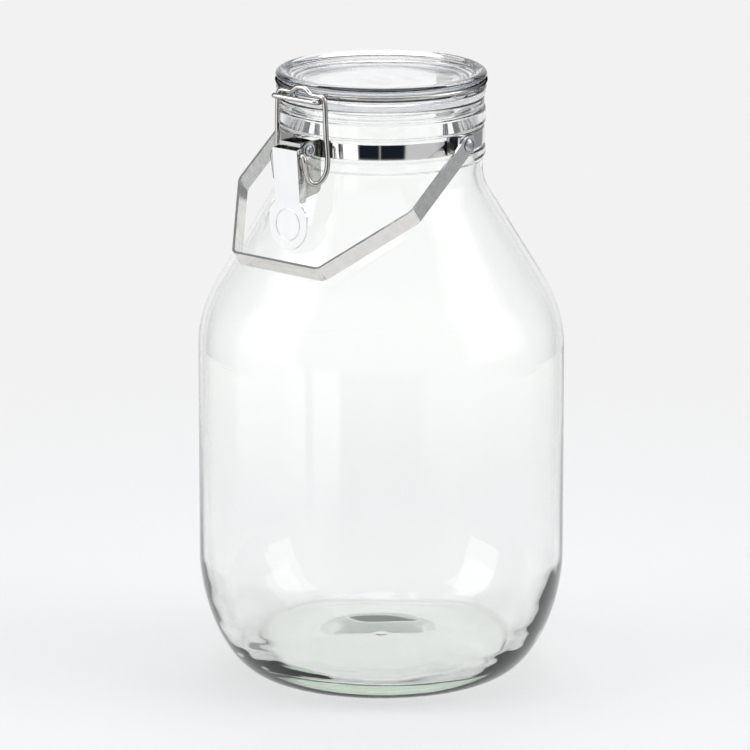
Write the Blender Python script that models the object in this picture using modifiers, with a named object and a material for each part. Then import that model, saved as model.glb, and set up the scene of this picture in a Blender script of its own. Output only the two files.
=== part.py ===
"""Swing-top glass storage jar of about four litres, with a carrying handle.

Metres, +Z up. The jar's axis is Z and the origin is the middle of its base.
The clamp is at -Y, the lid's hinge at +Y and the handle's pivots at +X and -X.
"""
import math

import bmesh
import bpy
from mathutils import Matrix, Vector

MM = 0.001
STEPS = 48

# Jar glass
BODY_R = 81.5 * MM
WALL = 4.0 * MM
BASE_FLAT_OUT = 53.4 * MM
BASE_FLAT_IN = 49.6 * MM
BASE_HOLLOW_Z = 4.0 * MM
BASE_HOLLOW_POWER = 4.0
FLOOR_Z = 11.0 * MM
FLOOR_R = 58.0 * MM
FLOOR_RISE = 3.0 * MM
FLOOR_POWER = 1.4
HEEL_TOP = 53.3 * MM
HEEL_POWER = 1.12
HEEL_POWER_INSIDE = 1.3
SHOULDER_Z = 148.3 * MM
SHOULDER_ARC = 56.0 * MM
SHOULDER_TURN = math.radians(31.4)
SHOULDER_CONE = 48.8 * MM
NECK_ARC = 19.4 * MM
LIP_TOP = 262.4 * MM
LIP_R = 45.6 * MM
LIP_LOW = 259.0 * MM
MOUTH_R = 41.1 * MM
BEAD_R = 46.2 * MM
BEAD_TOP = 257.0 * MM
BEAD_LOW = 250.3 * MM
LOW_BEAD_TOP = 240.2 * MM
LOW_BEAD_LOW = 235.4 * MM
GROOVE_R = 45.0 * MM

# Lid glass, its gasket and the wire round it
LID_R = 46.8 * MM
LID_TOP = 273.6 * MM
LID_FLANGE_R = 46.5 * MM
LID_FLANGE_LOW = 265.4 * MM
LID_GROOVE_R = 44.4 * MM
LID_DISH_Z = 270.4 * MM
PLUG_R = 40.4 * MM
PLUG_LOW = 257.6 * MM
GASKET_IN = 40.8 * MM
GASKET_OUT = 46.1 * MM
GASKET_LOW = 262.75 * MM
GASKET_TOP = 265.05 * MM
RING_WIRE = 1.1 * MM
RING_R = 45.9 * MM
RING_Z = 269.0 * MM
HINGE_Y = 51.0 * MM

# Neck band and handle
BAND_R = 45.6 * MM
BAND_T = 0.6 * MM
BAND_LOW = 241.4 * MM
BAND_TOP = 248.4 * MM
SHEET = 0.8 * MM
PIVOT_Z = 246.0 * MM
STRAP_X = 51.0 * MM
STRAP_T = 1.2 * MM
STRAP_W = 7.6 * MM
STRAP_TILT = math.radians(37.0)
STRAP_BEND = 44.0 * MM
STRAP_REACH = 84.0 * MM
GRIP_HALF = 25.0 * MM
LUG_X = 49.7 * MM
LUG_HALF = 4.4 * MM

# Clamp: P is the lever's pivot, Q is where the latch wire enters the lever
P_OUT = 55.1 * MM
P_Z = 246.0 * MM
Q_OUT = 60.5 * MM
Q_Z = 244.4 * MM
EAR_X = 5.7 * MM
WEB_OUT = 59.6 * MM
EAR_LOW = 224.2 * MM
CLAMP_TOP = 249.6 * MM
LEVER_X = 7.3 * MM
LEVER_T = 0.7 * MM
LEVER_OUT = 7.5 * MM
LEVER_TILT = math.radians(4.5)
TAB_R = 11.0 * MM
TAB_Z = -32.5 * MM
LATCH_WIRE = 1.15 * MM
LATCH_OUT = 52.1 * MM
LATCH_TOP = 270.1 * MM


def clear_scene():
    for thing in list(bpy.data.objects):
        bpy.data.objects.remove(thing, do_unlink=True)


def collection(name):
    group = bpy.data.collections.new(name)
    bpy.context.scene.collection.children.link(group)
    return group


def material(name, colour, roughness, metallic=0.0, alpha=1.0):
    made = bpy.data.materials.new(name)
    made.use_nodes = True
    shader = made.node_tree.nodes["Principled BSDF"]
    shader.inputs["Base Color"].default_value = (*colour, 1.0)
    shader.inputs["Roughness"].default_value = roughness
    shader.inputs["Metallic"].default_value = metallic
    shader.inputs["Alpha"].default_value = alpha
    return made


def new_object(name, data, group, finish=None):
    made = bpy.data.objects.new(name, data)
    group.objects.link(made)
    if finish:
        data.materials.append(finish)
    return made


def smooth(piece, angle=35):
    piece.data.shade_smooth()
    piece.data.set_sharp_from_angle(angle=math.radians(angle))


def arc(centre, radius, start, end, count):
    """Points of an arc in a plane, angles in radians, both ends included."""
    turn = (end - start) / (count - 1)
    return [
        (centre[0] + radius * math.cos(start + turn * i),
         centre[1] + radius * math.sin(start + turn * i))
        for i in range(count)
    ]


def smooth_path(points, cuts, closed=False):
    """A smooth curve through the points (Catmull-Rom), with cuts steps in each span."""
    nodes = [Vector(p) for p in points]
    count = len(nodes)
    spans = count if closed else count - 1
    path = []
    for i in range(spans):
        if closed:
            a, b, c, d = (nodes[(i + k - 1) % count] for k in range(4))
        else:
            a, b, c, d = (nodes[min(max(i + k - 1, 0), count - 1)] for k in range(4))
        for k in range(cuts):
            t = k / cuts
            path.append(0.5 * (2 * b + (c - a) * t + (2 * a - 5 * b + 4 * c - d) * t * t
                               + (3 * b - a - 3 * c + d) * t * t * t))
    if not closed:
        path.append(nodes[-1])
    return path


def turned(name, profile, group, finish, steps=STEPS, closed=False):
    """A profile of (radius, height) points turned about Z."""
    mesh = bpy.data.meshes.new(name)
    edges = [(i, i + 1) for i in range(len(profile) - 1)]
    if closed:
        edges.append((len(profile) - 1, 0))
    mesh.from_pydata([(r, 0.0, z) for r, z in profile], edges, [])
    piece = new_object(name, mesh, group, finish)
    screw = piece.modifiers.new("turn", "SCREW")
    screw.steps = steps
    screw.render_steps = steps
    screw.use_merge_vertices = True
    screw.merge_threshold = 0.00001
    screw.use_smooth_shade = True
    return piece


def wire(name, points, radius, group, finish, closed=False):
    """A round wire along the points."""
    curve = bpy.data.curves.new(name, "CURVE")
    curve.dimensions = "3D"
    curve.bevel_depth = radius
    curve.bevel_resolution = 2
    curve.use_fill_caps = not closed
    spline = curve.splines.new("POLY")
    spline.points.add(len(points) - 1)
    spline.use_cyclic_u = closed
    for point, place in zip(spline.points, points):
        point.co = (*place, 1.0)
    return new_object(name, curve, group, finish)


def strip(name, rows, thickness, group, finish):
    """Sheet metal: rows of points make an open surface, and Solidify gives it its thickness."""
    width = len(rows[0])
    faces = []
    for i in range(len(rows) - 1):
        for k in range(width - 1):
            corner = i * width + k
            faces.append((corner, corner + 1, corner + width + 1, corner + width))
    mesh = bpy.data.meshes.new(name)
    mesh.from_pydata([tuple(p) for row in rows for p in row], [], faces)
    piece = new_object(name, mesh, group, finish)
    solid = piece.modifiers.new("thickness", "SOLIDIFY")
    solid.thickness = thickness
    solid.offset = 0.0
    solid.use_even_offset = True
    return piece


def flat_plate(name, outline, x_from, x_to, group, finish=None):
    """A flat outline in the Y-Z plane with its thickness along X."""
    curve = bpy.data.curves.new(name + "_outline", "CURVE")
    curve.dimensions = "2D"
    curve.fill_mode = "BOTH"
    curve.extrude = abs(x_to - x_from) / 2
    spline = curve.splines.new("POLY")
    spline.points.add(len(outline) - 1)
    spline.use_cyclic_u = True
    for point, (y, z) in zip(spline.points, outline):
        point.co = (y, z, 0.0, 1.0)
    guide = new_object(name + "_outline", curve, group)
    bpy.context.view_layer.update()
    seen = guide.evaluated_get(bpy.context.evaluated_depsgraph_get())
    mesh = bpy.data.meshes.new_from_object(seen)
    bpy.data.objects.remove(guide, do_unlink=True)
    weld(mesh)
    upright = Matrix.Rotation(math.pi / 2, 4, "Z") @ Matrix.Rotation(math.pi / 2, 4, "X")
    mesh.transform(Matrix.Translation(((x_from + x_to) / 2, 0, 0)) @ upright)
    mesh.name = name
    return new_object(name, mesh, group, finish)


def weld(mesh):
    shape = bmesh.new()
    shape.from_mesh(mesh)
    bmesh.ops.remove_doubles(shape, verts=shape.verts, dist=0.000001)
    bmesh.ops.recalc_face_normals(shape, faces=shape.faces)
    shape.to_mesh(mesh)
    shape.free()


def as_cutter(piece):
    piece.hide_render = True
    piece.display_type = "WIRE"
    return piece


def round_bar(name, place, along, radius, length, group, sides=16):
    """A cylinder centred on place with its axis along a direction."""
    mesh = bpy.data.meshes.new(name)
    shape = bmesh.new()
    turn = Vector((0, 0, 1)).rotation_difference(Vector(along)).to_matrix().to_4x4()
    bmesh.ops.create_cone(shape, cap_ends=True, segments=sides, radius1=radius, radius2=radius,
                          depth=length, matrix=Matrix.Translation(place) @ turn)
    shape.to_mesh(mesh)
    shape.free()
    return new_object(name, mesh, group)


def combine(piece, other, operation):
    cut = piece.modifiers.new(other.name, "BOOLEAN")
    cut.operation = operation
    cut.solver = "EXACT"
    cut.object = other


def pivot(name, place, group):
    """An empty on a joint's axis, which the pieces that move are parented to."""
    empty = bpy.data.objects.new(name, None)
    empty.empty_display_size = 0.02
    empty.location = place
    group.objects.link(empty)
    return empty


def hang(piece, empty):
    piece.parent = empty
    piece.matrix_parent_inverse = Matrix.Translation(empty.location).inverted()


def heel(flat_r, side_r, low, high, power, count):
    """The base's large soft curve, from the side of the body down to the flat it stands on."""
    curve = []
    for i in range(count):
        angle = math.pi / 2 * (1 - i / (count - 1))
        curve.append((flat_r + (side_r - flat_r) * math.sin(angle) ** power,
                      high - (high - low) * math.cos(angle) ** power))
    return curve


def dome(edge_r, edge_z, rise, power, count):
    """The pushed-up middle of the base, from the axis out to its edge."""
    curve = []
    for i in range(count):
        part = i / (count - 1)
        curve.append((edge_r * part, edge_z + rise * (1 - part ** 2) ** power))
    return curve


def shoulder(inset, count):
    """The neck's hollow curve, the cone and the round shoulder, from the neck down."""
    turn = SHOULDER_TURN
    low_centre = (BODY_R - SHOULDER_ARC, SHOULDER_Z)
    cone_low = (low_centre[0] + SHOULDER_ARC * math.cos(turn), SHOULDER_Z + SHOULDER_ARC * math.sin(turn))
    cone_top = (cone_low[0] - SHOULDER_CONE * math.sin(turn), cone_low[1] + SHOULDER_CONE * math.cos(turn))
    high_centre = (cone_top[0] + NECK_ARC * math.cos(turn), cone_top[1] + NECK_ARC * math.sin(turn))
    neck = arc(high_centre, NECK_ARC + inset, math.pi, math.pi + turn, count)
    round_part = arc(low_centre, SHOULDER_ARC - inset, turn, 0.0, count)
    return neck + round_part


def jar_glass(group, finish):
    inner_r = BODY_R - WALL
    inside = dome(FLOOR_R, FLOOR_Z, FLOOR_RISE, FLOOR_POWER, 5)[:-1]
    inside += heel(FLOOR_R, inner_r, FLOOR_Z, HEEL_TOP, HEEL_POWER_INSIDE, 7)[::-1]
    inside += shoulder(WALL, 5)[::-1]
    edge = 1.0 * MM
    lip = [(MOUTH_R, LIP_TOP - edge), (MOUTH_R + edge, LIP_TOP), (LIP_R - edge, LIP_TOP),
           (LIP_R - 0.3 * edge, LIP_TOP - 0.3 * edge), (LIP_R, LIP_TOP - edge), (LIP_R, LIP_LOW),
           (GROOVE_R, LIP_LOW - 0.8 * edge)]
    bead = [(BEAD_R - 0.4 * MM, BEAD_TOP), (BEAD_R, BEAD_TOP - edge), (BEAD_R, BEAD_LOW + edge),
            (BEAD_R - 0.4 * MM, BEAD_LOW), (GROOVE_R, BEAD_LOW - 0.3 * MM)]
    low_bead = [(GROOVE_R, LOW_BEAD_TOP), (BEAD_R - 0.3 * MM, LOW_BEAD_TOP - edge),
                (BEAD_R - 0.1 * MM, (LOW_BEAD_TOP + LOW_BEAD_LOW) / 2),
                (BEAD_R - 0.4 * MM, LOW_BEAD_LOW + 0.6 * edge), (GROOVE_R + 0.1 * MM, LOW_BEAD_LOW - 0.4 * edge)]
    outside = lip + bead + low_bead + shoulder(0.0, 5)
    outside += heel(BASE_FLAT_OUT, BODY_R, 0.0, HEEL_TOP, HEEL_POWER, 9)
    under = dome(BASE_FLAT_IN, 0.0, BASE_HOLLOW_Z, BASE_HOLLOW_POWER, 6)[::-1]
    return turned("jar_glass", inside + outside + under, group, finish)


def lid_glass(group, finish):
    """A dished lid with a raised rim, a groove for its wire and a plug that enters the mouth."""
    under_z = 266.0 * MM
    top = [(0.0, LID_DISH_Z + 1.0 * MM), (17.0 * MM, LID_DISH_Z + 0.8 * MM), (19.0 * MM, LID_DISH_Z),
           (38.6 * MM, LID_DISH_Z), (40.6 * MM, LID_DISH_Z + 1.0 * MM), (42.0 * MM, LID_TOP - 0.5 * MM),
           (43.6 * MM, LID_TOP), (45.2 * MM, LID_TOP - 0.2 * MM), (46.4 * MM, LID_TOP - 1.0 * MM)]
    side = [(LID_R, LID_TOP - 2.0 * MM), (LID_R - 0.2 * MM, 270.7 * MM), (LID_GROOVE_R, 270.3 * MM),
            (LID_GROOVE_R, 267.8 * MM), (LID_FLANGE_R, 267.4 * MM), (LID_FLANGE_R, LID_FLANGE_LOW)]
    plug = [(PLUG_R, LID_FLANGE_LOW), (PLUG_R - 0.3 * MM, PLUG_LOW + 0.6 * MM), (PLUG_R - 1.0 * MM, PLUG_LOW),
            (PLUG_R - 3.4 * MM, PLUG_LOW), (PLUG_R - 4.4 * MM, under_z), (0.0, under_z)]
    return turned("lid_glass", top + side + plug, group, finish)


def gasket(group, finish):
    """The flat silicone ring between the lid's flange and the jar's lip."""
    nib = 0.5 * MM
    ring = [(GASKET_IN, GASKET_TOP), (GASKET_OUT - nib, GASKET_TOP), (GASKET_OUT, GASKET_TOP - nib),
            (GASKET_OUT, GASKET_LOW + nib), (GASKET_OUT - nib, GASKET_LOW), (GASKET_IN, GASKET_LOW)]
    return turned("lid_gasket", ring, group, finish, closed=True)


def neck_band(group, finish):
    crown = 0.25 * MM
    inner = BAND_R - BAND_T / 2
    outer = BAND_R + BAND_T / 2
    ring = [(inner, BAND_TOP), (outer - crown, BAND_TOP), (outer, BAND_TOP - 2 * crown),
            (outer, BAND_LOW + 2 * crown), (outer - crown, BAND_LOW), (inner, BAND_LOW)]
    return turned("neck_band", ring, group, finish, closed=True)


def ring_wire(group, finish):
    """One wire in the lid's groove, with a hook loop at the clamp and a straight bar at the hinge."""
    front = [(11.4, 44.5, 0.0), (9.7, 45.3, 0.0), (9.2, 46.6, 0.0), (9.9, 49.0, -0.6), (11.1, 52.1, -1.4),
             (12.1, 54.9, -1.1), (12.1, 56.4, -0.8), (10.8, 57.0, -0.7), (4.0, 57.0, -0.7)]
    back = [(4.0, -51.0, 0.0), (8.3, -51.0, 0.0), (9.6, -50.5, 0.0), (9.9, -49.2, 0.0), (9.9, -47.4, 0.0),
            (10.5, -45.6, 0.0), (12.2, -44.3, 0.0)]
    half = [Vector((x * MM, -y * MM, RING_Z + z * MM)) for x, y, z in front[::-1]]
    for i in range(8):
        angle = math.radians(20.0 + 20.0 * i)
        half.append(Vector((RING_R * math.sin(angle), -RING_R * math.cos(angle), RING_Z)))
    half += [Vector((x * MM, -y * MM, RING_Z + z * MM)) for x, y, z in back[::-1]]
    other = [Vector((-p.x, p.y, p.z)) for p in half[::-1]]
    return wire("lid_ring_wire", smooth_path(half + other, 2, closed=True), RING_WIRE, group, finish,
                closed=True)


def latch_wire(group, finish):
    """The spring wire: a bar with a finger hump over the hook, legs, and a bend under each rivet."""
    bar = LATCH_OUT / MM
    top = LATCH_TOP / MM
    side = [(1.8, bar, top + 2.5), (3.6, bar, top + 1.7), (5.4, bar, top + 0.4), (7.4, bar, top),
            (11.4, bar, top), (13.3, bar, top - 1.0), (13.9, bar, top - 4.0), (14.4, 51.9, 253.0),
            (15.0, 51.6, 243.0), (14.6, 52.1, 236.8),
            (13.2, 54.0, 233.0), (11.6, 56.0, 231.8), (10.2, 57.9, 233.2), (9.5, 59.3, 237.0),
            (9.4, 60.2, 241.0), (9.3, 60.45, 242.8), (8.8, 60.5, 244.0), (7.6, 60.5, 244.4), (6.5, 60.5, 244.4)]
    right = [Vector((x * MM, -y * MM, z * MM)) for x, y, z in side]
    left = [Vector((-p.x, p.y, p.z)) for p in right[::-1]]
    return wire("latch_wire", smooth_path(left + right, 2), LATCH_WIRE, group, finish)


def clamp_bracket(group, cutters, finish):
    """Two ears and a web that stand out from the band on two curved feet."""
    ear_in = 46.2 * MM
    round_r = 3.0 * MM
    corner = arc((-(ear_in + round_r), EAR_LOW + 1.6 * MM + round_r), round_r, 0.0, -math.pi / 2, 6)
    outline = [(-WEB_OUT, CLAMP_TOP), (-ear_in, CLAMP_TOP)] + corner + [(-WEB_OUT, EAR_LOW)]
    bracket = flat_plate("clamp_bracket", outline, EAR_X - SHEET / 2, EAR_X + SHEET / 2, group, finish)
    far_ear = as_cutter(flat_plate("bracket_far_ear", outline, -EAR_X - SHEET / 2, -EAR_X + SHEET / 2, cutters))
    web_y = -(WEB_OUT - SHEET / 2)
    web_half = EAR_X + 0.3 * SHEET
    web = as_cutter(strip("bracket_web", [[(-web_half, web_y, z), (web_half, web_y, z)]
                                          for z in (EAR_LOW + 0.3 * MM, CLAMP_TOP - 0.1 * MM)],
                          SHEET * 0.9, cutters, None))
    combine(bracket, far_ear, "UNION")
    combine(bracket, web, "UNION")
    foot_r = BAND_R + BAND_T / 2 + 0.3 * MM + SHEET / 2
    for side, word in ((1, "right"), (-1, "left")):
        rows = []
        for x in (5.5, 7.4, 9.2, 11.0):
            y = -math.sqrt(foot_r ** 2 - (x * MM) ** 2)
            rows.append([(side * x * MM, y, BAND_LOW + 0.2 * MM), (side * x * MM, y, CLAMP_TOP - 0.2 * MM)])
        foot = as_cutter(strip("bracket_foot_" + word, rows, SHEET, cutters, None))
        combine(bracket, foot, "UNION")
    hole = as_cutter(round_bar("bracket_hole", (0, -P_OUT, P_Z), (1, 0, 0), 1.25 * MM, 16 * MM, cutters))
    combine(bracket, hole, "DIFFERENCE")
    return bracket


def tab_half(z):
    """Half the lever's width at height z below its pivot: a plate that widens to a round tab."""
    plate = LEVER_X - 0.1 * MM
    if z >= -22.0 * MM:
        return plate
    if z > -27.5 * MM:
        t = (-22.0 * MM - z) / (5.5 * MM)
        return plate + (TAB_R - 0.2 * MM - plate) * t * t * (3 - 2 * t)
    if z > TAB_Z:
        return TAB_R
    return math.sqrt(max(TAB_R ** 2 - (z - TAB_Z) ** 2, (0.8 * MM) ** 2))


def clamp_lever(group, cutters, finish):
    """A pressed channel with a round finger tab, built upright about P and then leaned to rest."""
    mid = LEVER_OUT
    heights = [1.5, -8.0, -15.0, -22.0, -23.4, -24.8, -26.2, -27.6, -30.0, -32.5]
    heights += [TAB_Z / MM - TAB_R / MM * math.sin(math.radians(a)) for a in (18, 35, 50, 63, 74, 83, 90)]
    rows = []
    for z in (h * MM for h in heights):
        flare = max(0.0, -23.0 * MM - z) / (20.5 * MM)
        y = -mid - 2.2 * MM * flare ** 1.5
        half = tab_half(z)
        rows.append([(-half, y, z), (half, y, z)])
    lever = strip("clamp_lever", rows, LEVER_T, group, finish)
    lobe = arc((0.0, 0.0), 3.6 * MM, math.radians(105), math.radians(-105), 12)
    wall_in = -3.6 * MM
    outline = [(-mid, 1.4 * MM), (-3.4 * MM, 2.0 * MM)] + lobe + [(wall_in, -6.0 * MM), (wall_in, -21.4 * MM),
                                                                (wall_in - 0.8 * MM, -22.4 * MM), (-mid, -22.4 * MM)]
    for side, word in ((1, "right"), (-1, "left")):
        wall = flat_plate("lever_wall_" + word, outline, side * (LEVER_X - LEVER_T), side * LEVER_X, cutters)
        combine(lever, as_cutter(wall), "UNION")
    lean = Matrix.Rotation(LEVER_TILT, 4, "X")
    place = Matrix.Translation((0, -P_OUT, P_Z))
    q_local = (place @ lean).inverted() @ Vector((0, -Q_OUT, Q_Z))
    holes = (("lever_pivot_hole", Vector((0, 0, 0)), 1.25 * MM), ("lever_wire_hole", q_local, 1.4 * MM))
    for word, where, radius in holes:
        bar = as_cutter(round_bar(word, where, (1, 0, 0), radius, 18 * MM, cutters))
        combine(lever, bar, "DIFFERENCE")
    for piece in [lever] + [m.object for m in lever.modifiers if m.type == "BOOLEAN"]:
        piece.matrix_world = place @ lean
    return lever


def rivet(name, place, side, levels, radii, group, finish):
    """A domed rivet along X: levels are its top, head, inner head and end, from outside in."""
    top, head, inner, end = levels
    head_r, shank_r, inner_r = radii
    rise = top - head
    profile = [(0.0, top), (0.55 * head_r, head + 0.85 * rise), (0.88 * head_r, head + 0.45 * rise),
               (head_r, head), (shank_r, head), (shank_r, inner), (inner_r, inner), (inner_r, end), (0.0, end)]
    piece = turned(name, profile, group, finish, steps=12)
    piece.rotation_euler = (0.0, side * math.pi / 2, 0.0)
    piece.location = place
    return piece


def handle_lug(side, word, group, cutters, finish):
    """A hat-shaped lug on the band, which carries one end of the handle clear of the glass."""
    foot_x = BAND_R + BAND_T / 2 + 0.3 * MM + SHEET / 2
    half_foot = 8.2 * MM
    foot_end = math.sqrt(foot_x ** 2 - half_foot ** 2)
    plan = [(foot_end, -half_foot), (foot_x - 0.2 * MM, -LUG_HALF), (LUG_X, -LUG_HALF), (LUG_X, LUG_HALF),
            (foot_x - 0.2 * MM, LUG_HALF), (foot_end, half_foot)]
    rows = [[(side * x, side * y, z) for z in (BAND_LOW + 0.4 * MM, BAND_TOP + 1.4 * MM)] for x, y in plan]
    lug = strip("handle_lug_" + word, rows, SHEET, group, finish)
    bar = as_cutter(round_bar("lug_hole_" + word, (side * LUG_X, 0, PIVOT_Z), (1, 0, 0), 1.5 * MM, 4 * MM, cutters))
    combine(lug, bar, "DIFFERENCE")
    return lug


def carry_handle(group, cutters, finish):
    """A flat strap with four sharp bends, resting on the shoulder on the clamp's side."""
    end_r = STRAP_W / 2
    line = [(STRAP_X, -end_r * math.sin(math.radians(a)), end_r * math.cos(math.radians(a)))
            for a in (83, 60, 38, 18, 0)]
    bend = 1.2 * MM
    first = Vector((STRAP_X, STRAP_BEND))
    second = Vector((GRIP_HALF, STRAP_REACH))
    slope = (second - first).normalized()
    for point in (first - Vector((0, bend)), first + slope * bend, second - slope * bend,
                  second - Vector((bend, 0))):
        line.append((point.x, point.y, end_r))
    line += [(-x, w, half) for x, w, half in line[::-1]]
    outward = Vector((0, -math.cos(STRAP_TILT), -math.sin(STRAP_TILT)))
    across = Vector((0, -math.sin(STRAP_TILT), math.cos(STRAP_TILT)))
    centre = Vector((0, 0, PIVOT_Z))
    rows = []
    for x, w, half in line:
        middle = centre + Vector((x, 0, 0)) + outward * w
        rows.append([middle - across * half, middle + across * half])
    handle = strip("carry_handle", rows, STRAP_T, group, finish)
    for side, word in ((1, "right"), (-1, "left")):
        bar = round_bar("strap_hole_" + word, (side * STRAP_X, 0, PIVOT_Z), (1, 0, 0), 1.5 * MM, 4 * MM, cutters)
        combine(handle, as_cutter(bar), "DIFFERENCE")
    return handle


def hinge_bracket(group, finish):
    """A plate on the band at the back, curled round the ring wire's straight bar."""
    foot = BAND_R + BAND_T / 2 + 0.3 * MM + SHEET / 2
    curl_r = RING_WIRE + 0.25 * MM + SHEET / 2
    back = HINGE_Y - curl_r
    line = [(foot, BAND_LOW + 0.3 * MM), (foot, BAND_TOP - 0.4 * MM), (foot + 0.9 * MM, BAND_TOP + 1.6 * MM),
            (back - 0.3 * MM, BAND_TOP + 3.8 * MM), (back, BAND_TOP + 5.6 * MM), (back, RING_Z - 4.0 * MM)]
    line += arc((HINGE_Y, RING_Z), curl_r, math.pi, -math.pi / 2, 14)
    half = 7.0 * MM
    rows = [[(-half, y, z), (half, y, z)] for y, z in line]
    return strip("hinge_bracket", rows, SHEET, group, finish)


def build():
    clear_scene()
    parts = collection("swing_top_jar")
    cutters = collection("cutters")
    glass = material("clear_glass", (0.90, 0.95, 0.92), 0.02, alpha=0.35)
    silicone = material("clear_silicone", (0.88, 0.90, 0.90), 0.35, alpha=0.6)
    steel = material("polished_steel", (0.80, 0.79, 0.77), 0.12, metallic=1.0)
    wire_steel = material("bright_wire", (0.84, 0.83, 0.81), 0.15, metallic=1.0)
    strap_steel = material("strap_steel", (0.74, 0.72, 0.69), 0.22, metallic=1.0)

    jar_glass(parts, glass)
    smooth(neck_band(parts, steel))
    smooth(clamp_bracket(parts, cutters, steel))
    smooth(hinge_bracket(parts, steel))

    lid_hinge = pivot("lid_hinge_axis", (0, HINGE_Y, RING_Z), parts)
    for piece in (lid_glass(parts, glass), gasket(parts, silicone), ring_wire(parts, wire_steel)):
        hang(piece, lid_hinge)

    lever_axis = pivot("lever_axis", (0, -P_OUT, P_Z), parts)
    lever = clamp_lever(parts, cutters, steel)
    smooth(lever)
    hang(lever, lever_axis)
    latch_axis = pivot("latch_axis", (0, -Q_OUT, Q_Z), parts)
    hang(latch_wire(parts, wire_steel), latch_axis)

    handle_axis = pivot("handle_axis", (0, 0, PIVOT_Z), parts)
    handle = carry_handle(parts, cutters, strap_steel)
    smooth(handle, 20)
    hang(handle, handle_axis)

    for side, word in ((1, "right"), (-1, "left")):
        smooth(handle_lug(side, word, parts, cutters, steel))
        rivet("handle_rivet_" + word, (0, 0, PIVOT_Z), side,
              (53.1 * MM, 51.85 * MM, 49.0 * MM, 48.2 * MM), (2.9 * MM, 1.4 * MM, 2.3 * MM), parts, steel)
        rivet("lever_rivet_" + word, (0, -P_OUT, P_Z), side,
              (8.3 * MM, 7.5 * MM, 5.05 * MM, 4.3 * MM), (2.7 * MM, 1.15 * MM, 2.1 * MM), parts, steel)


build()
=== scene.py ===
import math

import bmesh
import bpy
from mathutils import Matrix, Vector


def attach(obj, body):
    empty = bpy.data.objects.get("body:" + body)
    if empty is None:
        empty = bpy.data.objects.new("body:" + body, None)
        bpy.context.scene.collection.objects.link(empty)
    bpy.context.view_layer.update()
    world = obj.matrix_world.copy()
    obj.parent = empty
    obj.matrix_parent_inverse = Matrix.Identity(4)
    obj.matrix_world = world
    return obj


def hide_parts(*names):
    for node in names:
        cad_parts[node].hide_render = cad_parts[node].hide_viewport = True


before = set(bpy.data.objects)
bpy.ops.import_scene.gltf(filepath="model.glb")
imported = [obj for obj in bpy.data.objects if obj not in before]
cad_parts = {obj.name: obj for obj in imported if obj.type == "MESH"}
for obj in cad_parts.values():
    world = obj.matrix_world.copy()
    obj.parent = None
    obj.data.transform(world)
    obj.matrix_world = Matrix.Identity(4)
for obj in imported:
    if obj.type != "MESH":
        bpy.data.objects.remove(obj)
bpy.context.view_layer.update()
mm = 0.001
print("frame loaded:", len(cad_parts), "nodes")

looks = bpy.data.collections.new("looks")
bpy.context.scene.collection.children.link(looks)

view = {
    "azimuth": math.radians(42.0),      # from the clamp's side towards +X
    "pitch": math.radians(13.818),
    "distance": 2.8,                    # along the floor, from the jar's axis
    "height": 0.8229,
    "aside": -0.0028,                   # the view's middle passes this far left of the axis
    "lens": 310.2,
    "sensor": 36.0,
    "farthest": 50.0,
}
towardCamera = Vector((math.sin(view["azimuth"]), -math.cos(view["azimuth"]), 0))
cameraRight = Vector((math.cos(view["azimuth"]), math.sin(view["azimuth"]), 0))


# small tools

def addObject(name, data):
    made = bpy.data.objects.new(name, data)
    looks.objects.link(made)
    return made


def arcPoints(centre, radius, start, end, count):
    turn = (end - start) / (count - 1)
    angles = [start + turn * i for i in range(count)]
    return [(centre[0] + radius * math.cos(angle), centre[1] + radius * math.sin(angle)) for angle in angles]


def softened(corners, cuts=4):
    # each corner is (radius, height) or (radius, height, size of its rounding), all in mm
    path = []
    for i, corner in enumerate(corners):
        here = Vector(corner[:2])
        if len(corner) < 3 or corner[2] == 0 or i == 0 or i == len(corners) - 1:
            path.append(tuple(here))
            continue
        before = Vector(corners[i - 1][:2]) - here
        after = Vector(corners[i + 1][:2]) - here
        reach = min(corner[2], before.length * 0.49, after.length * 0.49)
        start = here + before.normalized() * reach
        end = here + after.normalized() * reach
        for k in range(cuts + 1):
            t = k / cuts
            path.append(tuple(start * (1 - t) ** 2 + here * (2 * t * (1 - t)) + end * (t * t)))
    return path


def latheFaces(made, rings, closed):
    pairs = list(zip(rings, rings[1:]))
    if closed:
        pairs.append((rings[-1], rings[0]))
    for a, b in pairs:
        steps = max(len(a), len(b))
        for k in range(steps):
            n = (k + 1) % steps
            corners = [a[k % len(a)], b[k % len(b)], b[n % len(b)], a[n % len(a)]]
            made.faces.new([c for i, c in enumerate(corners) if c not in corners[:i]])


def lathed(name, profile, steps, closed=False, shape=None):
    # a profile in mm turned about the jar's axis; shape may move a point a little
    made = bmesh.new()
    rings = []
    for row, (radius, height) in enumerate(profile):
        if radius < 0.001:
            rings.append([made.verts.new((0, 0, height * mm))])
            continue
        ring = []
        for k in range(steps):
            angle = 2 * math.pi * k / steps
            r, z = shape(radius, height, angle, row) if shape else (radius, height)
            ring.append(made.verts.new((r * mm * math.cos(angle), r * mm * math.sin(angle), z * mm)))
        rings.append(ring)
    latheFaces(made, rings, closed)
    bmesh.ops.recalc_face_normals(made, faces=made.faces)
    for face in made.faces:
        face.smooth = True
    mesh = bpy.data.meshes.new(name)
    made.to_mesh(mesh)
    made.free()
    return addObject(name, mesh)


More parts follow.
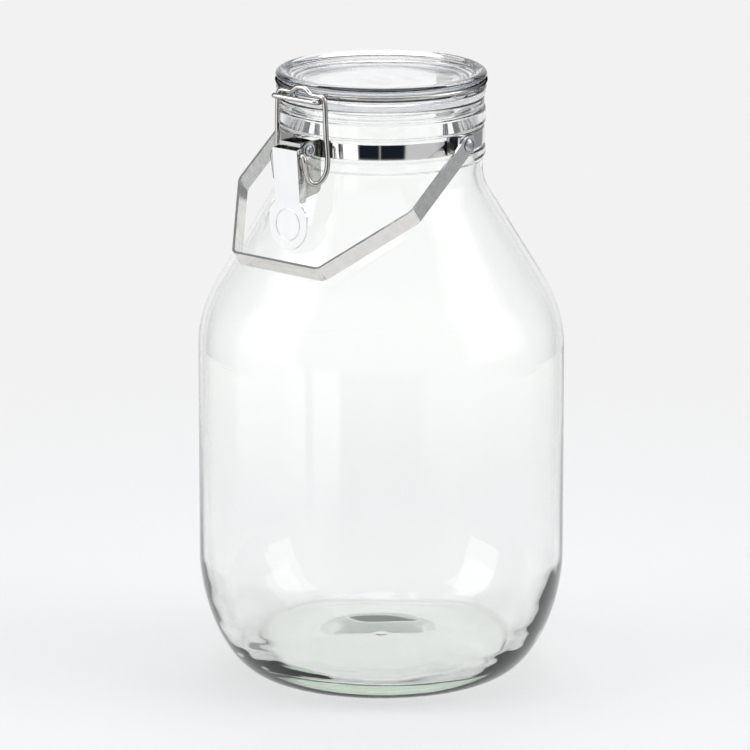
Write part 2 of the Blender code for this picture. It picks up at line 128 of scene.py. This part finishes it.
def smoothPath(points, cuts, closed=False):
    nodes = [Vector(p) for p in points]
    count = len(nodes)
    path = []
    for i in range(count if closed else count - 1):
        if closed:
            a, b, c, d = (nodes[(i + k - 1) % count] for k in range(4))
        else:
            a, b, c, d = (nodes[min(max(i + k - 1, 0), count - 1)] for k in range(4))
        for k in range(cuts):
            t = k / cuts
            path.append(0.5 * (2 * b + (c - a) * t + (2 * a - 5 * b + 4 * c - d) * t * t
                               + (3 * b - a - 3 * c + d) * t * t * t))
    if not closed:
        path.append(nodes[-1])
    return path


def bentWire(name, points, radius, closed=False):
    curve = bpy.data.curves.new(name, "CURVE")
    curve.dimensions = "3D"
    curve.bevel_depth = radius * mm
    curve.bevel_resolution = 5
    curve.use_fill_caps = not closed
    spline = curve.splines.new("POLY")
    spline.points.add(len(points) - 1)
    spline.use_cyclic_u = closed
    spline.use_smooth = True
    for point, place in zip(spline.points, points):
        point.co = (*(place * mm), 1.0)
    return addObject(name, curve)


# materials

def nodeMaterial(name):
    made = bpy.data.materials.new(name)
    made.use_nodes = True
    tree = made.node_tree
    return made, tree, tree.nodes["Principled BSDF"]


noiseSpan = (0.3, 0.7)      # the part of the noise that the mixes use


def addNode(tree, kind, settings=None, **inputs):
    node = tree.nodes.new(kind)
    for key, value in (settings or {}).items():
        setattr(node, key, value)
    for key, value in inputs.items():
        node.inputs[key.replace("_", " ")].default_value = value
    return node


def surfaceNoise(tree, scale, stretch=(1, 1, 1), detail=3.0):
    place = addNode(tree, "ShaderNodeTexCoord")
    mapping = addNode(tree, "ShaderNodeMapping")
    mapping.inputs["Scale"].default_value = stretch
    noise = addNode(tree, "ShaderNodeTexNoise", Scale=scale, Detail=detail, Roughness=0.55)
    tree.links.new(place.outputs["Object"], mapping.inputs["Vector"])
    tree.links.new(mapping.outputs["Vector"], noise.inputs["Vector"])
    return noise.outputs["Fac"]


def bumpFrom(tree, shader, height, strength, distance):
    bump = addNode(tree, "ShaderNodeBump", Strength=strength, Distance=distance)
    tree.links.new(height, bump.inputs["Height"])
    tree.links.new(bump.outputs["Normal"], shader.inputs["Normal"])


def ramped(tree, source, low, high, start=noiseSpan[0], end=noiseSpan[1]):
    ramp = addNode(tree, "ShaderNodeMapRange")
    for key, value in (("From Min", start), ("From Max", end), ("To Min", low), ("To Max", high)):
        ramp.inputs[key].default_value = value
    tree.links.new(source, ramp.inputs["Value"])
    return ramp.outputs["Result"]


def mixedColour(tree, source, first, second):
    ramp = addNode(tree, "ShaderNodeValToRGB")
    ramp.color_ramp.elements[0].position = noiseSpan[0]
    ramp.color_ramp.elements[1].position = noiseSpan[1]
    ramp.color_ramp.elements[0].color = (*first, 1)
    ramp.color_ramp.elements[1].color = (*second, 1)
    tree.links.new(source, ramp.inputs["Fac"])
    return ramp.outputs["Color"]


glassLook = {
    "colour": (0.998, 1.0, 0.998),
    "ior": 1.5,
    "bodyTint": (0.72, 0.78, 0.72),
    "bodyDensity": 19.0,
    "rippleScale": 26.0,
    "rippleHeight": 0.00009,
}


def clearGlass(name, look):
    made, tree, shader = nodeMaterial(name)
    shader.inputs["Base Color"].default_value = (*look["colour"], 1)
    shader.inputs["Roughness"].default_value = 0.0
    shader.inputs["IOR"].default_value = look["ior"]
    shader.inputs["Transmission Weight"].default_value = 1.0
    ripple = surfaceNoise(tree, look["rippleScale"], (1, 1, 0.45), 1.0)
    bumpFrom(tree, shader, ripple, 1.0, look["rippleHeight"])
    body = addNode(tree, "ShaderNodeVolumeAbsorption", Density=look["bodyDensity"])
    body.inputs["Color"].default_value = (*look["bodyTint"], 1)
    tree.links.new(body.outputs["Volume"], tree.nodes["Material Output"].inputs["Volume"])
    return made


def polishedMetal(name, colour, darker, roughness, grainScale, stretch, grainHeight, rim=1.0):
    # rim is how bright the metal stays where it is seen at a slant
    made, tree, shader = nodeMaterial(name)
    shader.inputs["Metallic"].default_value = 1.0
    shader.inputs["Specular Tint"].default_value = (rim, rim, rim, 1)
    grain = surfaceNoise(tree, grainScale, stretch)
    tree.links.new(mixedColour(tree, grain, darker, colour), shader.inputs["Base Color"])
    tree.links.new(ramped(tree, grain, roughness[0], roughness[1]), shader.inputs["Roughness"])
    bumpFrom(tree, shader, grain, 0.5, grainHeight)
    return made


siliconeLook = {
    "colour": (0.99, 0.99, 0.99), "shade": (0.96, 0.97, 0.97), "roughness": (0.45, 0.60),
    "hazeScale": 90.0, "clearness": 0.75, "ior": 1.41, "bumpHeight": 0.00005,
}


def clearSilicone(name, look):
    made, tree, shader = nodeMaterial(name)
    haze = surfaceNoise(tree, look["hazeScale"])
    tree.links.new(mixedColour(tree, haze, look["shade"], look["colour"]), shader.inputs["Base Color"])
    tree.links.new(ramped(tree, haze, *look["roughness"]), shader.inputs["Roughness"])
    shader.inputs["Transmission Weight"].default_value = look["clearness"]
    shader.inputs["IOR"].default_value = look["ior"]
    bumpFrom(tree, shader, haze, 0.3, look["bumpHeight"])
    return made


jarGlassFinish = clearGlass("jarGlassFinish", glassLook)
lidGlassFinish = clearGlass("lidGlassFinish", dict(glassLook, bodyTint=(0.62, 0.69, 0.82), bodyDensity=11.0,
                                                   rippleScale=60.0, rippleHeight=0.00006))
siliconeFinish = clearSilicone("siliconeFinish", siliconeLook)
mirrorSteel = polishedMetal("mirrorSteel", (0.86, 0.86, 0.86), (0.84, 0.84, 0.84), (0.02, 0.05),
                            180.0, (1, 1, 6), 0.000002)
pressedSteel = polishedMetal("pressedSteel", (0.86, 0.86, 0.86), (0.82, 0.82, 0.81), (0.05, 0.10),
                             240.0, (1, 1, 0.2), 0.000004, rim=0.0)
strapSteel = polishedMetal("strapSteel", (0.82, 0.80, 0.77), (0.72, 0.70, 0.67), (0.08, 0.18),
                           420.0, (0.3, 1, 1), 0.000006)
# the wire steel is darker than the strap and lever steel: painted shade standing in for the dark reflections
# along the wires
wireSteelPaintedShade = polishedMetal("wireSteelPaintedShade", (0.63, 0.61, 0.59), (0.51, 0.49, 0.47), (0.03, 0.07),
                          300.0, (1, 1, 1), 0.000003, rim=0.0)
# darker, warmer steel: the clamp bracket's own duller tone, and painted shade on the hinge bracket for its
# unlit side
bracketToneAndHingeShade = polishedMetal("bracketToneAndHingeShade", (0.62, 0.62, 0.58), (0.54, 0.54, 0.51), (0.08, 0.16),
                             240.0, (1, 1, 0.2), 0.000004, rim=0.3)
rivetSteel = polishedMetal("rivetSteel", (0.52, 0.54, 0.58), (0.44, 0.46, 0.50), (0.10, 0.18),
                           300.0, (1, 1, 1), 0.000004, rim=0.1)
print("materials made")

# jar glass

jar = {
    "bodyRadius": 81.5, "wall": 4.0, "heelTop": 53.3, "heelPower": 1.12,
    "standOuter": 53.4, "standInner": 49.6, "hollowUnder": 4.0,
    "floorHeight": 11.0, "floorRadius": 58.0, "floorRise": 3.0, "floorPower": 1.4, "insidePower": 1.3,
    "hollowPower": 4.0, "mark": (3.0, 0.7),
    "shoulderStart": 148.3, "shoulderRadius": 56.0, "coneTurn": math.radians(31.4), "coneLength": 48.8,
    "neckCurve": 19.4, "mouth": 41.1, "groove": 45.0, "bead": 46.2, "lipRadius": 45.6, "lipTop": 262.4,
    "steps": 240, "floorRows": 20, "heelRows": 30,
}


def heelCurve(flatRadius, sideRadius, low, high, count, power):
    curve = []
    for i in range(count):
        angle = math.pi / 2 * i / (count - 1)
        curve.append((flatRadius + (sideRadius - flatRadius) * math.sin(angle) ** power,
                      high - (high - low) * math.cos(angle) ** power))
    return curve


def pushedUp(edgeRadius, edgeHeight, rise, count, power):
    # the domed middle of the base, from the axis out to its edge
    parts = [i / (count - 1) for i in range(count)]
    return [(edgeRadius * part, edgeHeight + rise * (1 - part ** 2) ** power) for part in parts]


def shoulderCurve(inset, count):
    turn = jar["coneTurn"]
    outward = Vector((math.cos(turn), math.sin(turn)))      # square to the cone's slope
    upward = Vector((-math.sin(turn), math.cos(turn)))      # along the slope
    centre = Vector((jar["bodyRadius"] - jar["shoulderRadius"], jar["shoulderStart"]))
    coneTop = centre + outward * jar["shoulderRadius"] + upward * jar["coneLength"]
    neckCentre = coneTop + outward * jar["neckCurve"]
    neck = arcPoints(neckCentre, jar["neckCurve"] + inset, math.pi, math.pi + turn, count // 2)
    return neck + arcPoints(centre, jar["shoulderRadius"] - inset, turn, 0.0, count)


def jarProfile():
    innerRadius = jar["bodyRadius"] - jar["wall"]
    floorRadius, floorHeight = jar["floorRadius"], jar["floorHeight"]
    inside = pushedUp(floorRadius, floorHeight, jar["floorRise"], jar["floorRows"], jar["floorPower"])[:-1]
    inside += heelCurve(floorRadius, innerRadius, floorHeight, jar["heelTop"],
                        jar["heelRows"], jar["insidePower"])
    inside += shoulderCurve(jar["wall"], 24)[::-1]
    # down the outside of the neck: the lip, the bead, the groove for the band and the lower bead
    lipTop, lipRadius, groove, bead = jar["lipTop"], jar["lipRadius"], jar["groove"], jar["bead"]
    lip = softened([(jar["mouth"], 258.0), (jar["mouth"], lipTop, 1.2), (lipRadius, lipTop, 1.4),
                    (lipRadius, 258.8, 0.5), (groove, 258.0, 0.5), (groove, 257.2, 0.4),
                    (bead, 256.8, 1.0), (bead, 250.5, 1.2), (groove, 249.9, 0.5),
                    (groove, 240.3, 0.8), (bead - 0.1, 239.6, 1.2), (bead - 0.1, 235.8, 1.4),
                    (groove + 0.1, 234.6, 0.8), (groove - 0.02, 232.0)])
    heel = heelCurve(jar["standOuter"], jar["bodyRadius"], 0.0, jar["heelTop"], 34, jar["heelPower"])
    outside = shoulderCurve(0.0, 24) + heel[::-1]
    hollow = pushedUp(jar["standInner"], 0.0, jar["hollowUnder"], 28, jar["hollowPower"])[::-1]
    markRadius, markDepth = jar["mark"]      # the mould's small round mark under the middle
    mark = [(markRadius * (1 - i / 5), jar["hollowUnder"] - markDepth * math.sin(math.pi / 2 * i / 5) ** 2)
            for i in range(6)]
    return inside + lip + outside + [p for p in hollow if p[0] > markRadius + 1] + mark


pressed = {
    # the plunger leaves the inside of the heel a little uneven: size in mm, waves round the jar, start
    "waves": [(0.36, 5, 0.4), (0.22, 9, 1.3), (0.08, 21, 2.1), (0.02, 37, 0.7)],
    "heights": [(0.20, 4, 1.1), (0.10, 11, 0.2)],
    "rings": [(0.24, 0.50, 3, 1.6), (0.12, 1.15, 5, 2.2)],      # size, pace up the wall, waves round, swing
    "fadeFrom": 9.0, "fadeTop": 75.0,
}


def unevenInside(radius, height, angle, row):
    if row >= jar["floorRows"] + jar["heelRows"] or height > pressed["fadeTop"]:
        return radius, height
    if row < jar["floorRows"] - 1:
        share = (radius / jar["floorRadius"]) ** 4
    else:
        share = (1 - (height - pressed["fadeFrom"]) / (pressed["fadeTop"] - pressed["fadeFrom"])) ** 1.5
    aside = sum(size * math.sin(count * angle + start) for size, count, start in pressed["waves"])
    rise = sum(size * math.sin(count * angle + start) for size, count, start in pressed["heights"])
    rise += sum(size * math.sin(pace * height + swing * math.sin(count * angle))
                for size, pace, count, swing in pressed["rings"])
    return radius + share * aside, height + share * rise


fineJar = lathed("jarGlassFine", jarProfile(), jar["steps"], shape=unevenInside)
fineJar.data.materials.append(jarGlassFinish)
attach(fineJar, "jar")
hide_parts("jar_glass")
fineJar.visible_shadow = False      # clear glass lets the soft light through to the floor
print("jar glass made:", len(fineJar.data.polygons), "faces")

# lid glass

lid = {
    "top": 273.6, "radius": 46.8, "dish": 270.4, "flange": 46.5, "flangeLow": 265.4,
    "groove": 44.4, "plug": 40.4, "plugLow": 257.6, "under": 266.0, "steps": 240,
    "swellRadius": 33.0, "swellRise": 1.0,      # the thick middle of the lid swells a little
}


def lidProfile():
    dish, rim, edge = lid["dish"], lid["top"], lid["radius"]
    top = pushedUp(lid["swellRadius"], dish, lid["swellRise"], 13, 1.5)
    top += [(38.4, dish, 0.9), (40.6, dish + 1.2, 0.9), (41.6, rim - 0.9, 0.8), (43.4, rim, 0.9),
            (45.2, rim - 0.1, 1.0), (edge, rim - 1.4, 1.0)]
    side = [(edge - 0.1, 270.9, 0.5), (lid["groove"], 270.3, 0.4), (lid["groove"], 267.8, 0.4),
            (lid["flange"], 267.4, 0.5), (lid["flange"], lid["flangeLow"], 0.5)]
    plug = [(lid["plug"], lid["flangeLow"], 0.3), (lid["plug"], lid["plugLow"], 1.0),
            (lid["plug"] - 3.4, lid["plugLow"], 1.0), (lid["plug"] - 4.4, lid["under"], 1.5),
            (0, lid["under"])]
    return softened(top + side + plug)


fineLid = lathed("lidGlassFine", lidProfile(), lid["steps"])
fineLid.data.materials.append(lidGlassFinish)
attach(fineLid, "lid")
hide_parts("lid_glass")
fineLid.visible_shadow = False
print("lid glass made")

# seal ring and neck band

def flatRing(name, ring, innerEdge):
    # a ring of four-sided section, begun in the middle of its top
    inner, outer, low, high, edge = (ring[key] for key in ("inner", "outer", "low", "high", "edge"))
    section = softened([(ring["middle"], high), (outer, high, edge), (outer, low, edge),
                        (inner, low, innerEdge), (inner, high, innerEdge), (ring["middle"], high)])
    return lathed(name, section[:-1], ring["steps"], closed=True)


seal = {"inner": 40.8, "middle": 43.0, "outer": 46.1, "low": 262.75, "high": 265.05,
        "edge": 0.5, "steps": 192}
fineSeal = flatRing("sealRingFine", seal, seal["edge"])
fineSeal.data.materials.append(siliconeFinish)
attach(fineSeal, "lid")
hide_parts("lid_gasket")

band = {"inner": 45.3, "middle": 45.6, "outer": 45.9, "low": 241.4, "high": 248.4,
        "edge": 0.35, "steps": 240}
fineBand = flatRing("neckBandFine", band, 0.0)
fineBand.data.materials.append(mirrorSteel)
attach(fineBand, "jar")
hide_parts("neck_band")
print("seal ring and neck band made")

# wires

ringWire = {"radius": 1.1, "ring": 45.9, "height": 269.0}
# half of each: aside, in front of the jar's axis, and above the ring's height, in mm
hookLoop = [(11.4, 44.5, 0.0), (9.7, 45.3, 0.0), (9.2, 46.6, 0.0), (9.9, 49.0, -0.6), (11.1, 52.1, -1.4),
            (12.1, 54.9, -1.1), (12.1, 56.4, -0.8), (10.8, 57.0, -0.7), (4.0, 57.0, -0.7)]
hingeBar = [(4.0, -51.0, 0.0), (8.3, -51.0, 0.0), (9.6, -50.5, 0.0), (9.9, -49.2, 0.0), (9.9, -47.4, 0.0),
            (10.5, -45.6, 0.0), (12.2, -44.3, 0.0)]


def ringWirePath():
    half = [Vector((x, -y, ringWire["height"] + z)) for x, y, z in hookLoop[::-1]]
    for i in range(15):
        angle = math.radians(20.0 + 10.0 * i)
        place = (ringWire["ring"] * math.sin(angle), -ringWire["ring"] * math.cos(angle), ringWire["height"])
        half.append(Vector(place))
    half += [Vector((x, -y, ringWire["height"] + z)) for x, y, z in hingeBar[::-1]]
    return smoothPath(half + [Vector((-p.x, p.y, p.z)) for p in half[::-1]], 6, closed=True)


fineRing = bentWire("lidRingWireFine", ringWirePath(), ringWire["radius"], closed=True)
fineRing.data.materials.append(wireSteelPaintedShade)
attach(fineRing, "lid")
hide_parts("lid_ring_wire")

latch = {"radius": 1.15, "bar": 52.1, "top": 270.1}


def latchPath():
    bar, top = latch["bar"], latch["top"]
    side = [(1.8, bar, top + 2.5), (3.6, bar, top + 1.7), (5.4, bar, top + 0.4), (7.4, bar, top),
            (11.4, bar, top), (13.3, bar, top - 1.0), (13.9, bar, top - 4.0), (14.4, 51.9, 253.0),
            (15.0, 51.6, 243.0), (14.6, 52.1, 236.8),
            (13.2, 54.0, 233.0), (11.6, 56.0, 231.8), (10.2, 57.9, 233.2), (9.5, 59.3, 237.0),
            (9.4, 60.2, 241.0), (9.3, 60.45, 242.8), (8.8, 60.5, 244.0), (7.6, 60.5, 244.4),
            (6.5, 60.5, 244.4)]
    right = [Vector((x, -y, z)) for x, y, z in side]
    return smoothPath([Vector((-p.x, p.y, p.z)) for p in right[::-1]] + right, 6)


fineLatch = bentWire("latchWireFine", latchPath(), latch["radius"])
fineLatch.data.materials.append(wireSteelPaintedShade)
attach(fineLatch, "latch")
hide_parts("latch_wire")
print("wires made")

# sheet metal and rivets keep their solids, with softened edges

sheetEdges = {"width": 0.0003, "segments": 3, "angle": math.radians(30)}
carried = {
    # the hinge bracket takes the darker bracket steel as painted shade for its unlit side behind the lid rim
    "clamp_bracket": bracketToneAndHingeShade, "clamp_lever": pressedSteel, "hinge_bracket": bracketToneAndHingeShade,
    "handle_lug_left": pressedSteel, "handle_lug_right": pressedSteel, "carry_handle": strapSteel,
    "handle_rivet_left": rivetSteel, "handle_rivet_right": rivetSteel,
    "lever_rivet_left": rivetSteel, "lever_rivet_right": rivetSteel,
}
for nodeName, finish in carried.items():
    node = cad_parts[nodeName]
    for place in node.material_slots:
        place.material = finish
    if "rivet" not in nodeName:
        edge = node.modifiers.new("softEdges", "BEVEL")
        edge.width = sheetEdges["width"]
        edge.segments = sheetEdges["segments"]
        edge.limit_method = "ANGLE"
        edge.angle_limit = sheetEdges["angle"]
print("metal dressed")

# the round line pressed into the finger tab

clamp = {
    "pivotOut": 55.1, "pivotHeight": 246.0, "lean": math.radians(4.5), "face": 7.5, "sheet": 0.7,
    "flareFrom": -23.0, "flareLength": 20.5, "flareOut": 2.2,
    "tabCentre": -32.5, "pressedRadius": 6.9, "lineRadius": 0.28, "lineSunk": 0.12, "linePoints": 72,
}


def tabFace(height):
    flare = max(0.0, clamp["flareFrom"] - height) / clamp["flareLength"]
    return -clamp["face"] - clamp["flareOut"] * flare ** 1.5 - clamp["sheet"] / 2


def leverToJar(point):
    turned = Matrix.Rotation(clamp["lean"], 3, "X") @ Vector(point)
    return turned + Vector((0, -clamp["pivotOut"], clamp["pivotHeight"]))


linePoints = []
for i in range(clamp["linePoints"]):
    angle = 2 * math.pi * i / clamp["linePoints"]
    height = clamp["tabCentre"] + clamp["pressedRadius"] * math.sin(angle)
    out = tabFace(height) + clamp["lineSunk"]
    linePoints.append(leverToJar((clamp["pressedRadius"] * math.cos(angle), out, height)))
tabLine = bentWire("fingerTabRing", linePoints, clamp["lineRadius"], closed=True)
tabLine.data.materials.append(pressedSteel)
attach(tabLine, "lever")

# floor, sky and lights

sky = {
    "pale": 0.888, "beyond": 1.04,
    "brightest": 2.0,      # the rings' colours are held as parts of this
    # degrees round from the camera towards the picture's right, the grey light from there, and its coolness
    "low": [(-180, 0.86), (-156, 0.86), (-150, 0.30), (-106, 0.30), (-100, 1.12, 0.02), (-64, 1.12, 0.02),
            (-58, 1.5), (-49, 1.5), (-48, 0.02), (-44, 0.02), (-43, 1.5), (-27, 1.5), (-25, 0.015, 0.3),
            (-3, 0.015, 0.3), (-2, 0.35), (-1, 0.35), (0, 0.015, 0.3), (25, 0.015, 0.3), (28, 0.62),
            (62, 0.62), (72, 0.45, 0.05), (108, 0.45, 0.05), (114, 0.28), (150, 0.30, 0.06), (156, 0.86),
            (180, 0.86)],
    "high": [(-180, 0.86), (-158, 0.86), (-152, 0.3, 0.06), (-108, 0.3, 0.06), (-100, 1.6), (-60, 1.6),
             (-52, 0.5, 0.08), (0, 0.45, 0.08), (52, 0.5, 0.08), (60, 1.4), (100, 1.4), (108, 0.3, 0.06),
             (152, 0.3, 0.06), (158, 0.86), (180, 0.86)],
    "under": [(-180, 0.95), (180, 0.95)],
    "through": [(-180, 1.04), (-152, 1.04), (-140, 0.58, 0.05), (-100, 0.60, 0.05), (-84, 1.0), (84, 1.0),
                (100, 0.60, 0.05), (140, 0.58, 0.05), (152, 1.04), (180, 1.04)],
    # where one ring turns into the next, as the sine of the rise above the floor
    "steep": (-0.42, -0.30), "horizon": (-0.08, 0.06),
}

stageLook = {"colour": (0.757, 0.757, 0.757), "shade": (0.76, 0.76, 0.76),
             "radius": 0.66, "segments": 96, "drop": 0.0002, "roughness": 0.9, "gloss": 0.1,
             "fadeFrom": 0.22, "fadeTo": 0.62, "least": 0.004}


def paleFloor():
    # a round floor that turns into the pale sky round it
    made = bmesh.new()
    bmesh.ops.create_circle(made, cap_ends=True, segments=stageLook["segments"],
                           radius=stageLook["radius"])
    mesh = bpy.data.meshes.new("floor")
    made.to_mesh(mesh)
    made.free()
    floor = addObject("floor", mesh)
    floor.location.z = -stageLook["drop"]
    finish, tree, shader = nodeMaterial("paleFloorFinish")
    mixed = mixedColour(tree, surfaceNoise(tree, 3.0), stageLook["shade"], stageLook["colour"])
    tree.links.new(mixed, shader.inputs["Base Color"])
    shader.inputs["Roughness"].default_value = stageLook["roughness"]
    shader.inputs["Specular IOR Level"].default_value = stageLook["gloss"]
    place = addNode(tree, "ShaderNodeTexCoord")
    length = addNode(tree, "ShaderNodeVectorMath", {"operation": "LENGTH"})
    tree.links.new(place.outputs["Object"], length.inputs[0])
    fade = addNode(tree, "ShaderNodeMapRange", {"interpolation_type": "SMOOTHSTEP"})
    for key, value in (("From Min", stageLook["fadeFrom"]), ("From Max", stageLook["fadeTo"]),
                       ("To Min", 0.0), ("To Max", 1.0 - stageLook["least"])):
        fade.inputs[key].default_value = value
    tree.links.new(length.outputs["Value"], fade.inputs["Value"])
    # past the fade the floor glows like the sky, and lets reflections and shadows through
    seen = addNode(tree, "ShaderNodeLightPath")
    glow = addNode(tree, "ShaderNodeEmission")
    glow.inputs["Color"].default_value = (1, 1, 1, 1)
    brightness = ramped(tree, seen.outputs["Is Transmission Ray"], sky["pale"], sky["beyond"], 0.0, 1.0)
    tree.links.new(brightness, glow.inputs["Strength"])
    clear = addNode(tree, "ShaderNodeBsdfTransparent")
    looking = addNode(tree, "ShaderNodeMath", {"operation": "MAXIMUM"})
    tree.links.new(seen.outputs["Is Camera Ray"], looking.inputs[0])
    tree.links.new(seen.outputs["Is Transmission Ray"], looking.inputs[1])
    far = addNode(tree, "ShaderNodeMixShader")
    tree.links.new(looking.outputs[0], far.inputs[0])
    tree.links.new(clear.outputs["BSDF"], far.inputs[1])
    tree.links.new(glow.outputs["Emission"], far.inputs[2])
    blend = addNode(tree, "ShaderNodeMixShader")
    tree.links.new(fade.outputs["Result"], blend.inputs[0])
    tree.links.new(shader.outputs["BSDF"], blend.inputs[1])
    tree.links.new(far.outputs["Shader"], blend.inputs[2])
    tree.links.new(blend.outputs["Shader"], tree.nodes["Material Output"].inputs["Surface"])
    mesh.materials.append(finish)


paleFloor()


def skyRing(tree, around, turn):
    ramp = addNode(tree, "ShaderNodeValToRGB")
    stops = ramp.color_ramp.elements
    while len(stops) > 1:
        stops.remove(stops[-1])
    for i, (degrees, light, *cool) in enumerate(around):
        place = (degrees + 180) / 360
        stop = stops[0] if i == 0 else stops.new(place)
        stop.position = place
        shift = cool[0] if cool else 0.0
        grey = light / sky["brightest"]
        stop.color = (grey * (1 - shift), grey, grey * (1 + shift), 1)
    tree.links.new(turn, ramp.inputs["Fac"])
    return ramp.outputs["Color"]


def studioSky():
    world = bpy.data.worlds.new("studioSky")
    bpy.context.scene.world = world
    world.use_nodes = True
    tree = world.node_tree
    tree.nodes.clear()
    out = addNode(tree, "ShaderNodeOutputWorld")
    place = addNode(tree, "ShaderNodeTexCoord")
    parts = []
    for direction in (cameraRight, towardCamera, Vector((0, 0, 1))):
        dot = addNode(tree, "ShaderNodeVectorMath", {"operation": "DOT_PRODUCT"})
        dot.inputs[1].default_value = direction
        tree.links.new(place.outputs["Generated"], dot.inputs[0])
        parts.append(dot.outputs["Value"])
    angle = addNode(tree, "ShaderNodeMath", {"operation": "ARCTAN2"})
    tree.links.new(parts[0], angle.inputs[0])
    tree.links.new(parts[1], angle.inputs[1])
    turn = addNode(tree, "ShaderNodeMapRange")
    turn.inputs["From Min"].default_value = -math.pi
    turn.inputs["From Max"].default_value = math.pi
    tree.links.new(angle.outputs[0], turn.inputs["Value"])
    rise = addNode(tree, "ShaderNodeMapRange", {"interpolation_type": "SMOOTHSTEP"})
    rise.inputs["From Min"].default_value, rise.inputs["From Max"].default_value = sky["horizon"]
    tree.links.new(parts[2], rise.inputs["Value"])
    both = addNode(tree, "ShaderNodeMix", {"data_type": "RGBA"})
    tree.links.new(rise.outputs["Result"], both.inputs[0])
    tree.links.new(skyRing(tree, sky["low"], turn.outputs["Result"]), both.inputs[6])
    tree.links.new(skyRing(tree, sky["high"], turn.outputs["Result"]), both.inputs[7])
    fall = addNode(tree, "ShaderNodeMapRange", {"interpolation_type": "SMOOTHSTEP"})
    fall.inputs["From Min"].default_value, fall.inputs["From Max"].default_value = sky["steep"]
    tree.links.new(parts[2], fall.inputs["Value"])
    whole = addNode(tree, "ShaderNodeMix", {"data_type": "RGBA"})
    tree.links.new(fall.outputs["Result"], whole.inputs[0])
    tree.links.new(skyRing(tree, sky["under"], turn.outputs["Result"]), whole.inputs[6])
    tree.links.new(both.outputs[2], whole.inputs[7])
    around = addNode(tree, "ShaderNodeBackground", Strength=sky["brightest"])
    tree.links.new(whole.outputs[2], around.inputs["Color"])
    plain = addNode(tree, "ShaderNodeBackground", Strength=sky["pale"])
    plain.inputs["Color"].default_value = (1, 1, 1, 1)
    beyond = addNode(tree, "ShaderNodeBackground", Strength=sky["brightest"])
    tree.links.new(skyRing(tree, sky["through"], turn.outputs["Result"]), beyond.inputs["Color"])
    seen = addNode(tree, "ShaderNodeLightPath")
    passed = addNode(tree, "ShaderNodeMixShader")
    tree.links.new(seen.outputs["Is Transmission Ray"], passed.inputs[0])
    tree.links.new(around.outputs[0], passed.inputs[1])
    tree.links.new(beyond.outputs[0], passed.inputs[2])
    choose = addNode(tree, "ShaderNodeMixShader")
    tree.links.new(seen.outputs["Is Camera Ray"], choose.inputs[0])
    tree.links.new(passed.outputs[0], choose.inputs[1])
    tree.links.new(plain.outputs[0], choose.inputs[2])
    tree.links.new(choose.outputs[0], out.inputs["Surface"])


studioSky()

lampAim = Vector((0, 0, 0.14))
softboxes = [
    # name, degrees round from the camera, distance, height, width, tall, watts
    ("leftSoftbox", -78, 2.6, 1.3, 1.4, 2.0, 16),
    ("rightSoftbox", 82, 2.6, 1.3, 1.4, 2.0, 12),
    ("topSoftbox", 180, 0.2, 2.6, 2.2, 2.2, 27),
]


def addSoftbox(name, degrees, distance, height, width, tall, watts):
    turn = math.radians(degrees)
    away = towardCamera * math.cos(turn) + cameraRight * math.sin(turn)
    data = bpy.data.lights.new(name, "AREA")
    data.shape = "RECTANGLE"
    data.size = width
    data.size_y = tall
    data.energy = watts
    lamp = bpy.data.objects.new(name, data)
    lamp.location = away * distance + Vector((0, 0, height))
    lamp.rotation_euler = (lampAim - lamp.location).to_track_quat("-Z", "Y").to_euler()
    bpy.context.scene.collection.objects.link(lamp)


for box in softboxes:
    addSoftbox(*box)
bpy.context.scene.view_settings.view_transform = "Standard"


def setCamera():
    data = bpy.data.cameras.new("camera")
    data.lens = view["lens"]
    data.sensor_width = view["sensor"]
    data.clip_end = view["farthest"]
    eye = bpy.data.objects.new("camera", data)
    eye.location = towardCamera * view["distance"] + cameraRight * view["aside"]
    eye.location.z = view["height"]
    eye.rotation_euler = (math.pi / 2 - view["pitch"], 0, view["azimuth"])
    bpy.context.scene.collection.objects.link(eye)
    bpy.context.scene.camera = eye


setCamera()
print("studio set")
